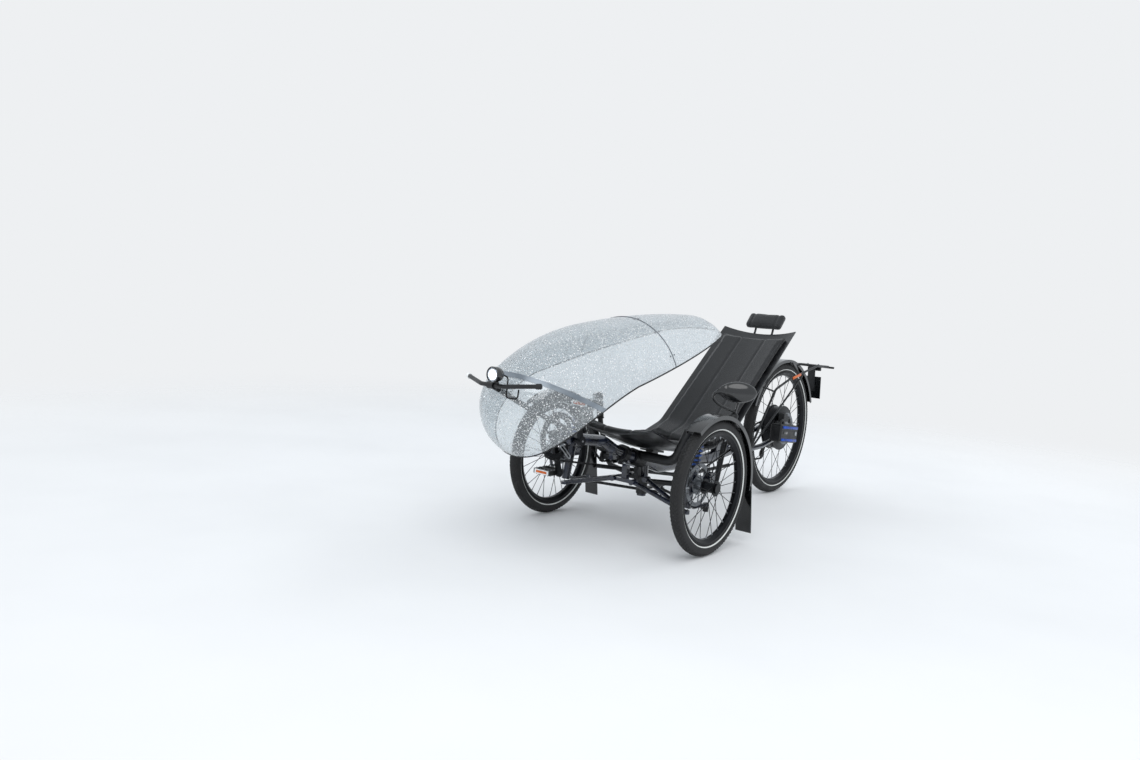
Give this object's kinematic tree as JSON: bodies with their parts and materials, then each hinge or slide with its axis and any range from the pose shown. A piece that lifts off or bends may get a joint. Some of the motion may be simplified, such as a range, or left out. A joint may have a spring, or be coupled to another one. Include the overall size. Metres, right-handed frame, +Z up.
{
  "type": "folding electric tricycle",
  "caption": "Low recumbent tricycle with two steered front wheels, hub-driven rear wheel, folding frame and clear fairing.",
  "frame": {"origin": "on the floor below the middle of the overall box", "axes": "+X forward, +Y to the rider's left, +Z up"},
  "size_m": [2.507, 0.82, 0.9017],
  "materials": {
    "frame_paint": "gloss paint",
    "black_metal": "satin",
    "bare_metal": "machined",
    "steel": "drawn wire",
    "brake_steel": "ground",
    "rubber": "moulded",
    "grip_rubber": "matt",
    "black_plastic": "moulded",
    "gloss_black": "moulded, polished",
    "clear_sheet": "clear polycarbonate",
    "seam_tape": "grey strip",
    "seat_shell": "moulded",
    "seat_fabric": "open weave mesh",
    "blue_spring": "powder coat",
    "lens_red": "clear red",
    "lamp_body": "satin",
    "chain_steel": "oiled"
  },
  "bodies": {
    "chassis": {"main_frame": "frame_paint", "fold_pin": "bare_metal", "chain_idler": "black_plastic", "front_boom": "frame_paint", "boom_clamp": "bare_metal", "power_idler": "black_plastic", "cross_boom": "frame_paint", "wishbone_left": "black_metal", "wishbone_right": "black_metal", "seat_shell": "seat_shell", "seat_stays": "black_metal", "seat_cushion": "seat_fabric", "back_cushion": "seat_fabric", "headrest": "seat_fabric", "headrest_stem": "black_metal", "chain_front": "black_plastic"},
    "handlebar": {"handlebar": "black_metal", "grip_left": "grip_rubber", "grip_right": "grip_rubber", "mirror": "gloss_black"},
    "tie_rod_left": {"tie_rod_left": "black_metal"},
    "tie_rod_right": {"tie_rod_right": "black_metal"},
    "knuckle_left": {"knuckle_left": "black_metal", "strut_left": "blue_spring", "fender_left": "gloss_black"},
    "knuckle_right": {"knuckle_right": "black_metal", "strut_right": "blue_spring", "fender_right": "gloss_black"},
    "wheel_left": {"tyre_left": "rubber", "wheel_left": "black_metal", "disc_left": "brake_steel"},
    "wheel_right": {"tyre_right": "rubber", "wheel_right": "black_metal", "disc_right": "brake_steel"},
    "crank": {"crankset": "black_metal"},
    "pedal_left": {"pedal_left": "black_metal"},
    "pedal_right": {"pedal_right": "black_metal"},
    "fairing": {"lamp_stem": "black_metal", "headlamp": "lamp_body", "lamp_cable": "grip_rubber", "fairing_nose": "clear_sheet", "fairing_top": "clear_sheet", "fairing_tail": "clear_sheet", "fairing_band": "seam_tape"},
    "rear_section": {"rear_beam": "frame_paint", "swing_arm": "frame_paint", "rear_shock": "blue_spring", "rack": "black_metal", "plate": "black_metal", "tail_lamp": "lens_red", "battery": "gloss_black", "rear_fender": "gloss_black", "rear_caliper": "black_metal", "derailleur": "black_metal", "chain_rear": "black_plastic"},
    "rear_wheel": {"tyre_rear": "rubber", "rear_wheel": "black_metal", "hub_motor": "black_metal", "cassette": "steel", "rear_disc": "brake_steel"}
  },
  "joints": [
    {"name": "steering", "type": "hinge", "parent": "chassis", "child": "handlebar", "pos_m": [0.3325, 0, 0.19], "axis": [0, 0, 1], "range_deg": [-25, 25]},
    {"name": "knuckle_left_turn", "type": "hinge", "parent": "chassis", "child": "knuckle_left", "pos_m": [0.44436, 0.29, 0.25], "axis": [-0.2079, 0, 0.9781], "range_deg": [-26, 26]},
    {"name": "knuckle_right_turn", "type": "hinge", "parent": "chassis", "child": "knuckle_right", "pos_m": [0.44436, -0.29, 0.25], "axis": [-0.2079, 0, 0.9781], "range_deg": [-26, 26]},
    {"name": "tie_rod_left_turn", "type": "hinge", "parent": "handlebar", "child": "tie_rod_left", "pos_m": [0.1825, 0, 0.1375], "axis": [0, 0, 1], "range_deg": [-26, 26]},
    {"name": "tie_rod_right_turn", "type": "hinge", "parent": "handlebar", "child": "tie_rod_right", "pos_m": [0.1825, 0, 0.1225], "axis": [0, 0, 1], "range_deg": [-26, 26]},
    {"name": "wheel_left_spin", "type": "hinge", "parent": "knuckle_left", "child": "wheel_left", "pos_m": [0.4525, 0.377, 0.25], "axis": [0, 1, 0], "continuous": true},
    {"name": "wheel_right_spin", "type": "hinge", "parent": "knuckle_right", "child": "wheel_right", "pos_m": [0.4525, -0.377, 0.25], "axis": [0, 1, 0], "continuous": true},
    {"name": "crank_spin", "type": "hinge", "parent": "chassis", "child": "crank", "pos_m": [0.8325, 0, 0.4], "axis": [0, 1, 0], "continuous": true},
    {"name": "pedal_left_spin", "type": "hinge", "parent": "crank", "child": "pedal_left", "pos_m": [0.88199, 0.115, 0.54372], "axis": [0, 1, 0], "continuous": true},
    {"name": "pedal_right_spin", "type": "hinge", "parent": "crank", "child": "pedal_right", "pos_m": [0.78301, -0.115, 0.25628], "axis": [0, 1, 0], "continuous": true},
    {"name": "fairing_tilt", "type": "hinge", "parent": "chassis", "child": "fairing", "pos_m": [0.8385, 0, 0.434], "axis": [0, 1, 0], "range_deg": [0, 35]},
    {"name": "frame_fold", "type": "hinge", "parent": "chassis", "child": "rear_section", "pos_m": [-0.0475, 0, 0.196], "axis": [0, -1, 0], "range_deg": [0, 135]},
    {"name": "rear_wheel_spin", "type": "hinge", "parent": "rear_section", "child": "rear_wheel", "pos_m": [-0.8475, 0, 0.3315], "axis": [0, 1, 0], "continuous": true}
  ],
  "couplings": [
    {"joint": "knuckle_left_turn", "follows": "steering", "ratio": 1},
    {"joint": "knuckle_right_turn", "follows": "steering", "ratio": 1},
    {"joint": "tie_rod_left_turn", "follows": "steering", "ratio": -1},
    {"joint": "tie_rod_right_turn", "follows": "steering", "ratio": -1}
  ]
}
